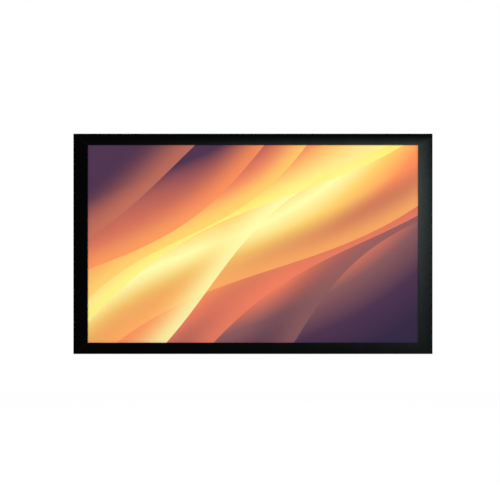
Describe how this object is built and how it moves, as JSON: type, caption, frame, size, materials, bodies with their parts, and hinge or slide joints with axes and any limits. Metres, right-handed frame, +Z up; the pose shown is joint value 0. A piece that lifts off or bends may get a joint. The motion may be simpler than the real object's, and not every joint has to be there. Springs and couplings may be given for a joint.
{
  "type": "fixed frame projector screen",
  "caption": "Fixed frame projection screen: a sheet tensioned by rods and clips in a bevelled, velvet-wrapped aluminium frame that hangs on wall brackets.",
  "frame": {"origin": "centre of the overall box, wall brackets included", "axes": "+X to the right of a viewer who faces the picture, +Y from the picture towards the wall, +Z up"},
  "size_m": [2.176, 0.043, 1.335],
  "materials": {
    "velvet": "short black light-absorbing pile",
    "black_aluminium": "black anodised extrusion",
    "screen_pvc": "matt white projection surface",
    "black_acetal": "moulded, fine texture",
    "zinc_steel": "bright zinc plated",
    "black_steel": "black oxide"
  },
  "bodies": {
    "root": {"bar_plug_bottom": "black_acetal", "bar_plug_top": "black_acetal", "corner_bracket_bottom_left": "zinc_steel", "corner_bracket_bottom_right": "zinc_steel", "corner_bracket_top_left": "zinc_steel", "corner_bracket_top_right": "zinc_steel", "corner_screw_bottom_left_1": "black_steel", "corner_screw_bottom_left_2": "black_steel", "corner_screw_bottom_left_3": "black_steel", "corner_screw_bottom_left_4": "black_steel", "corner_screw_bottom_right_1": "black_steel", "corner_screw_bottom_right_2": "black_steel", "corner_screw_bottom_right_3": "black_steel", "corner_screw_bottom_right_4": "black_steel", "corner_screw_top_left_1": "black_steel", "corner_screw_top_left_2": "black_steel", "corner_screw_top_left_3": "black_steel", "corner_screw_top_left_4": "black_steel", "corner_screw_top_right_1": "black_steel", "corner_screw_top_right_2": "black_steel", "corner_screw_top_right_3": "black_steel", "corner_screw_top_right_4": "black_steel", "rail_bottom_left": "black_aluminium", "rail_bottom_right": "black_aluminium", "rail_left": "black_aluminium", "rail_right": "black_aluminium", "rail_top_left": "black_aluminium", "rail_top_right": "black_aluminium", "screen_sheet": "screen_pvc", "splice_bar_bottom": "zinc_steel", "splice_bar_top": "zinc_steel", "splice_screw_bottom_1": "black_steel", "splice_screw_bottom_2": "black_steel", "splice_screw_bottom_3": "black_steel", "splice_screw_bottom_4": "black_steel", "splice_screw_top_1": "black_steel", "splice_screw_top_2": "black_steel", "splice_screw_top_3": "black_steel", "splice_screw_top_4": "black_steel", "support_bar": "black_aluminium", "tension_rod_bottom_left": "black_acetal", "tension_rod_bottom_right": "black_acetal", "tension_rod_left": "black_acetal", "tension_rod_right": "black_acetal", "tension_rod_top_left": "black_acetal", "tension_rod_top_right": "black_acetal", "velvet_bottom_left": "velvet", "velvet_bottom_right": "velvet", "velvet_left": "velvet", "velvet_right": "velvet", "velvet_top_left": "velvet", "velvet_top_right": "velvet", "wall_bracket_bottom_left": "zinc_steel", "wall_bracket_bottom_right": "zinc_steel", "wall_bracket_top_left": "zinc_steel", "wall_bracket_top_right": "zinc_steel"}
  },
  "joints": []
}
